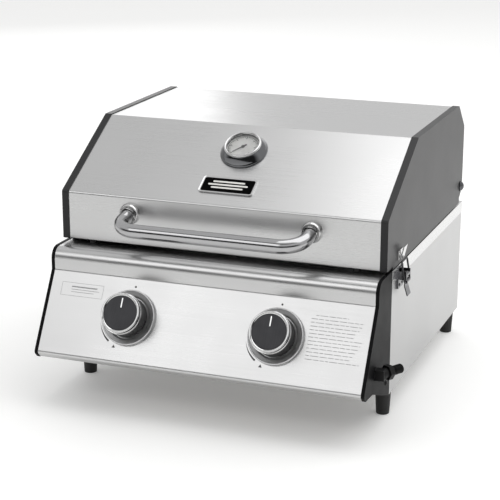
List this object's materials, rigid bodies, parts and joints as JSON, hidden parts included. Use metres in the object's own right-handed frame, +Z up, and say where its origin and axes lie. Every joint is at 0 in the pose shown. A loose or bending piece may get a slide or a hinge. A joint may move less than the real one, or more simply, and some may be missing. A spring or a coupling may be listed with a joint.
{
  "type": "gas barbecue grill",
  "caption": "Tabletop gas barbecue grill with a hinged stainless lid, slanted control panel, round knobs, lid thermometer, side latches and tube handle.",
  "frame": {"origin": "on the ground, under the middle of the whole object's box", "axes": "+Z up, -Y towards the cook at the control panel, +X to the cook's right"},
  "size_m": [0.5372, 0.5684, 0.3815],
  "materials": {
    "brushed_stainless": "brushed",
    "plain_steel": "satin",
    "dark_enamel": "satin",
    "polished_steel": "polished",
    "black_plastic": "satin",
    "black_fitting": "satin",
    "black_rubber": "matte",
    "graphite_face": "satin",
    "brass": "machined",
    "white_ceramic": "glazed",
    "dial_white": "matte",
    "dial_ink": "satin",
    "clear_glass": "clear",
    "enamelled_iron": "satin enamel"
  },
  "bodies": {
    "body": {"body_shell": "brushed_stainless", "rim_frame": "brushed_stainless", "floor_panel": "plain_steel", "front_wall": "plain_steel", "firebox": "plain_steel", "control_panel": "brushed_stainless", "panel_cap_left": "dark_enamel", "panel_cap_right": "dark_enamel", "cap_screws": "black_fitting", "lid_bumpers": "black_rubber", "feet": "black_rubber", "foot_screws": "plain_steel", "hinge_brackets": "plain_steel", "pivot_bolts": "polished_steel", "knob_bezels": "polished_steel", "valve_body_left": "brass", "valve_body_right": "brass", "injectors": "brass", "gas_pipe": "brass", "inlet_elbow": "black_fitting", "inlet_nut": "black_fitting", "burner_left": "plain_steel", "burner_right": "plain_steel", "electrodes": "plain_steel", "electrode_sleeves": "white_ceramic", "flame_tamers": "plain_steel", "grate_left": "enamelled_iron", "grate_right": "enamelled_iron", "tray_rails": "plain_steel", "latch_plates": "polished_steel"},
    "lid": {"lid_skin": "brushed_stainless", "lid_end_left": "dark_enamel", "lid_end_right": "dark_enamel", "handle_bar": "polished_steel", "handle_rosettes": "polished_steel", "handle_screws": "plain_steel", "badge_plate": "black_fitting", "badge_frame": "polished_steel", "thermo_bezel": "polished_steel", "thermo_body": "plain_steel", "thermo_dial": "dial_white", "thermo_glass": "clear_glass", "thermo_nut": "brass", "latch_keepers": "polished_steel"},
    "needle": {"thermo_needle": "dial_ink"},
    "tap_left": {"valve_plug_left": "brass"},
    "tap_right": {"valve_plug_right": "brass"},
    "knob_left": {"knob_left": "black_plastic", "knob_rings_left": "polished_steel", "knob_face_left": "graphite_face", "spindle_left": "plain_steel"},
    "knob_right": {"knob_right": "black_plastic", "knob_rings_right": "polished_steel", "knob_face_right": "graphite_face", "spindle_right": "plain_steel"},
    "lever_left": {"latch_lever_left": "polished_steel"},
    "lever_right": {"latch_lever_right": "polished_steel"},
    "bail_left": {"latch_bail_left": "polished_steel"},
    "bail_right": {"latch_bail_right": "polished_steel"},
    "tray": {"drip_tray": "plain_steel"}
  },
  "joints": [
    {"name": "lid_hinge", "type": "hinge", "parent": "body", "child": "lid", "pos_m": [-0.0086, 0.25544, 0.246], "axis": [-1, 0, 0], "range_deg": [0, 95]},
    {"name": "needle_turn", "type": "hinge", "parent": "lid", "child": "needle", "pos_m": [-0.0086, -0.07407, 0.35056], "axis": [0, 0.5, -0.866], "range_deg": [0, 250]},
    {"name": "knob_left_turn", "type": "hinge", "parent": "body", "child": "tap_left", "pos_m": [-0.1186, -0.23931, 0.1362], "axis": [0, -0.866, 0.5], "range_deg": [0, 170]},
    {"name": "knob_left_push", "type": "slide", "parent": "tap_left", "child": "knob_left", "axis": [0, 0.866, -0.5], "range_m": [0, 0.004], "stiffness_N_per_m": 800, "springref_m": -0.004},
    {"name": "latch_left_lever", "type": "hinge", "parent": "body", "child": "lever_left", "pos_m": [-0.2626, -0.10856, 0.204], "axis": [0, 1, 0], "range_deg": [0, 120]},
    {"name": "latch_left_bail", "type": "hinge", "parent": "lever_left", "child": "bail_left", "pos_m": [-0.2651, -0.10856, 0.195], "axis": [0, 1, 0], "range_deg": [-120, 0]},
    {"name": "knob_right_turn", "type": "hinge", "parent": "body", "child": "tap_right", "pos_m": [0.1014, -0.23931, 0.1362], "axis": [0, -0.866, 0.5], "range_deg": [0, 170]},
    {"name": "knob_right_push", "type": "slide", "parent": "tap_right", "child": "knob_right", "axis": [0, 0.866, -0.5], "range_m": [0, 0.004], "stiffness_N_per_m": 800, "springref_m": -0.004},
    {"name": "latch_right_lever", "type": "hinge", "parent": "body", "child": "lever_right", "pos_m": [0.2454, -0.10856, 0.204], "axis": [0, -1, 0], "range_deg": [0, 120]},
    {"name": "latch_right_bail", "type": "hinge", "parent": "lever_right", "child": "bail_right", "pos_m": [0.2479, -0.10856, 0.195], "axis": [0, -1, 0], "range_deg": [-120, 0]},
    {"name": "drip_tray_slide", "type": "slide", "parent": "body", "child": "tray", "axis": [0, 1, 0], "range_m": [0, 0.3]}
  ],
  "couplings": [
    {"joint": "latch_left_bail", "follows": "latch_left_lever", "ratio": -1},
    {"joint": "latch_right_bail", "follows": "latch_right_lever", "ratio": -1}
  ]
}
